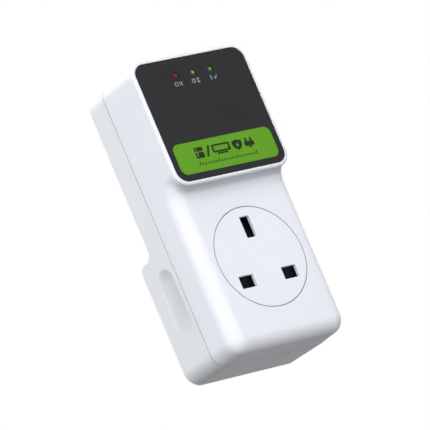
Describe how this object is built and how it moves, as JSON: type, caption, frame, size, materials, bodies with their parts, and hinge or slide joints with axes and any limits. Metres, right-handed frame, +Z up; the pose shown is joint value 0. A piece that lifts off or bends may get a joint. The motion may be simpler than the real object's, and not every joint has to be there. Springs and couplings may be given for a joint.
{
  "type": "plug-in appliance voltage protector",
  "caption": "Square-pin plug-in protector with a shuttered socket, a raised head with a dark panel and indicator lamps, and a relay board inside.",
  "frame": {"origin": "middle of the plug's pin pattern on the plug face, halfway in height between the live pins and the earth pin", "axes": "+X right seen from the front, +Y out of the plug face towards the wall socket, +Z up"},
  "size_m": [0.0602, 0.0668, 0.1259],
  "materials": {
    "case_white": "moulded, fine gloss",
    "case_white_rear": "moulded, fine gloss",
    "face_white": "moulded, fine gloss",
    "shutter_black": "moulded",
    "spring_steel": "drawn wire",
    "panel_charcoal": "printed film",
    "band_green": "printed film",
    "lamp_red": "tinted clear resin",
    "lamp_amber": "tinted clear resin",
    "lamp_green": "tinted clear resin",
    "carrier_grey": "moulded",
    "contact_brass": "rolled strip",
    "pin_brass": "solid, polished",
    "sleeve_black": "moulded on the pin",
    "clamp_black": "moulded",
    "strap_brass": "stamped strip",
    "wire_brown": "insulated wire",
    "wire_red": "insulated wire",
    "wire_blue": "insulated wire",
    "board_green": "glass-epoxy laminate",
    "relay_black": "moulded",
    "relay_blue": "moulded",
    "relay_iron": "plated soft iron",
    "coil_copper": "enamelled copper winding on a moulded bobbin",
    "varistor_blue": "dipped epoxy",
    "capacitor_yellow": "potted box",
    "capacitor_sleeve": "shrunk sleeve",
    "chip_black": "moulded package",
    "diode_black": "moulded package",
    "resistor_tan": "lacquered",
    "screw_steel": "zinc plated"
  },
  "bodies": {
    "case": {"front_shell": "case_white", "rear_shell": "case_white_rear", "socket_face": "face_white", "shutter_spring": "spring_steel", "overlay_panel": "panel_charcoal", "rating_band": "band_green", "red_lamp": "lamp_red", "amber_lamp": "lamp_amber", "green_lamp": "lamp_green", "contact_carrier": "carrier_grey", "line_contact": "contact_brass", "neutral_contact": "contact_brass", "earth_contact": "contact_brass", "line_pin": "pin_brass", "neutral_pin": "pin_brass", "earth_pin": "pin_brass", "line_sleeve": "sleeve_black", "neutral_sleeve": "sleeve_black", "pin_clamp": "clamp_black", "earth_strap": "strap_brass", "neutral_strap": "strap_brass", "line_wire": "wire_brown", "load_wire": "wire_red", "neutral_wire": "wire_blue", "circuit_board": "board_green", "relay_base": "relay_black", "relay_cover": "relay_blue", "relay_yoke": "relay_iron", "relay_coil": "coil_copper", "relay_fixed_contact": "contact_brass", "varistor": "varistor_blue", "dropper_capacitor": "capacitor_yellow", "filter_capacitor": "capacitor_sleeve", "small_capacitor": "capacitor_sleeve", "controller_chip": "chip_black", "transistor": "chip_black", "diodes": "diode_black", "resistors": "resistor_tan", "case_screws": "screw_steel", "board_screws": "screw_steel", "clamp_screws": "screw_steel", "carrier_screws": "screw_steel"},
    "shutter": {"shutter": "shutter_black"},
    "armature": {"relay_armature": "relay_iron", "relay_blade": "contact_brass"}
  },
  "joints": [
    {"name": "shutter_slide", "type": "slide", "parent": "case", "child": "shutter", "axis": [0, 0, -1], "range_m": [0, 0.0065], "stiffness_N_per_m": 60, "springref_m": -0.004, "deforming": ["shutter_spring"]},
    {"name": "armature_swing", "type": "hinge", "parent": "case", "child": "armature", "pos_m": [0, -0.03484, 0.07349], "axis": [1, 0, 0], "range_deg": [0, 3.5], "stiffness_Nm_per_rad": 0.02, "springref_deg": -5.73}
  ]
}
